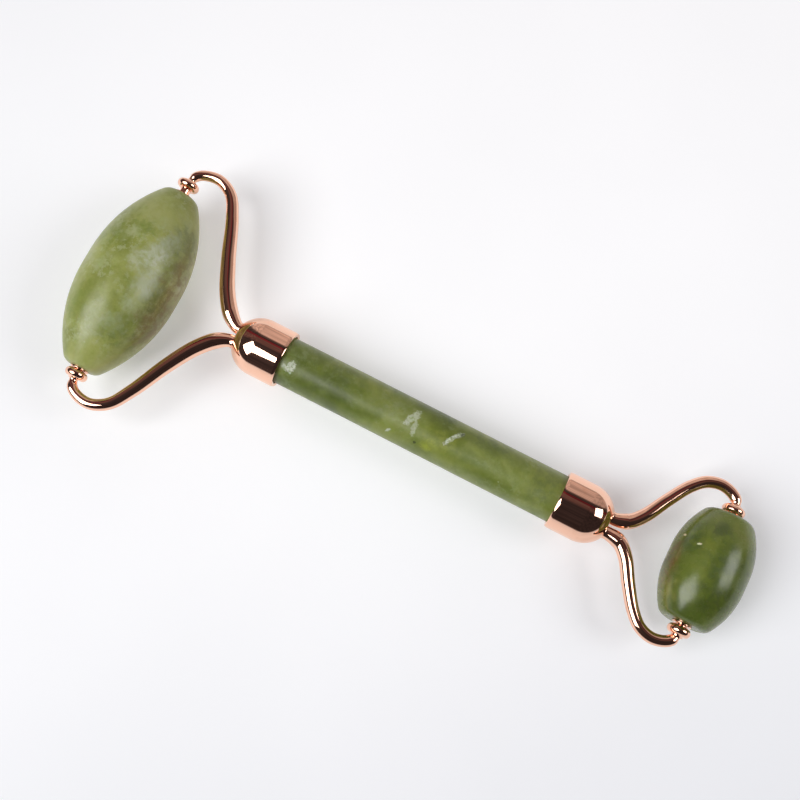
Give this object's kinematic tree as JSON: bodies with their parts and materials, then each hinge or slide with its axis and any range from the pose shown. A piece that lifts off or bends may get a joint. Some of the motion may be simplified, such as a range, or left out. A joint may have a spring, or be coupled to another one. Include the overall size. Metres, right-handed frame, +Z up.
{
  "type": "jade face roller",
  "caption": "Facial massage roller: a round jade handle with a polished metal fork at each end, holding a long or a short barrel-shaped jade stone that spins freely.",
  "frame": {"origin": "on the surface the roller lies on, below the middle of its bounding box", "axes": "+X along the handle from the large stone to the small stone, +Y along the roller axles, +Z up, away from the surface it lies on"},
  "size_m": [0.1488, 0.0567, 0.0208],
  "materials": {
    "handle_jade": "polished olive-green jade, mottled",
    "large_roller_jade": "satin light olive-green jade with cloudy pale patches",
    "small_roller_jade": "polished dark olive-green jade",
    "rose_gold": "mirror-polished rose-gold plating",
    "epoxy": "cured epoxy"
  },
  "bodies": {
    "handle": {"handle_stone": "handle_jade", "large_ferrule": "rose_gold", "small_ferrule": "rose_gold", "large_adhesive": "epoxy", "small_adhesive": "epoxy", "large_arm_left": "rose_gold", "large_arm_right": "rose_gold", "small_arm_left": "rose_gold", "small_arm_right": "rose_gold", "large_collar_left": "rose_gold", "large_collar_right": "rose_gold", "small_collar_left": "rose_gold", "small_collar_right": "rose_gold", "large_axle_pin_left": "rose_gold", "large_axle_pin_right": "rose_gold", "small_axle_pin_left": "rose_gold", "small_axle_pin_right": "rose_gold"},
    "large_roller": {"large_roller_stone": "large_roller_jade", "large_bushing_left": "rose_gold", "large_bushing_right": "rose_gold"},
    "small_roller": {"small_roller_stone": "small_roller_jade", "small_bushing_left": "rose_gold", "small_bushing_right": "rose_gold"}
  },
  "joints": [
    {"name": "large_roller_spin", "type": "hinge", "parent": "handle", "child": "large_roller", "pos_m": [-0.06397, -0.00055, 0.0104], "axis": [0, 1, 0], "continuous": true},
    {"name": "small_roller_spin", "type": "hinge", "parent": "handle", "child": "small_roller", "pos_m": [0.06617, 0.0001, 0.0082], "axis": [0, 1, 0], "continuous": true}
  ]
}
